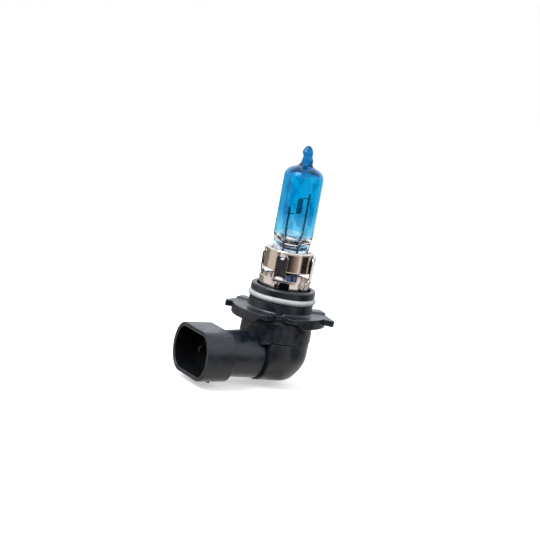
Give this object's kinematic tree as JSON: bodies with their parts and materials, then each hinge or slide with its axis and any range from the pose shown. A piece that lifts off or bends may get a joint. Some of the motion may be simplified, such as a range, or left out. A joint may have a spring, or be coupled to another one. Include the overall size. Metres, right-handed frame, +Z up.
{
  "type": "headlight bulb",
  "caption": "Right-angle halogen headlight bulb: blue-coated quartz capsule in a metal cup and cage on a black keyed base with a sealing ring and a shrouded blade connector.",
  "frame": {"origin": "on the capsule's axis, at the flange's top face, which seats in the lamp", "axes": "+Z up the capsule's axis towards its tip, -X out of the connector's mouth, +Y completes the right-handed frame"},
  "size_m": [0.0472, 0.0295, 0.0791],
  "materials": {
    "blue_quartz": "clear quartz with a blue interference coat, high gloss",
    "tungsten": "drawn tungsten, dull",
    "foil": "thin molybdenum foil, satin",
    "tinned_metal": "tinned, satin",
    "nickel_alloy": "drawn sheet, warm nickel tone, bright",
    "bright_sheet": "stamped sheet, bright",
    "black_plastic": "moulded, satin",
    "grey_rubber": "smooth silicone, semi-matt",
    "sealant": "cast, matt"
  },
  "bodies": {
    "root": {"glass_envelope": "blue_quartz", "filament_coil": "tungsten", "inner_lead_long": "tungsten", "inner_lead_short": "tungsten", "seal_foil_1": "foil", "seal_foil_2": "foil", "outer_lead_1": "tinned_metal", "outer_lead_2": "tinned_metal", "capsule_cup": "nickel_alloy", "capsule_clip": "bright_sheet", "focus_cage": "bright_sheet", "base_body": "black_plastic", "o_ring": "grey_rubber", "potting_seal": "sealant", "elbow_cover": "black_plastic", "connector_shroud": "black_plastic", "terminal_blade_1": "tinned_metal", "terminal_blade_2": "tinned_metal", "lead_ferrule_1": "tinned_metal", "lead_ferrule_2": "tinned_metal"}
  },
  "joints": []
}
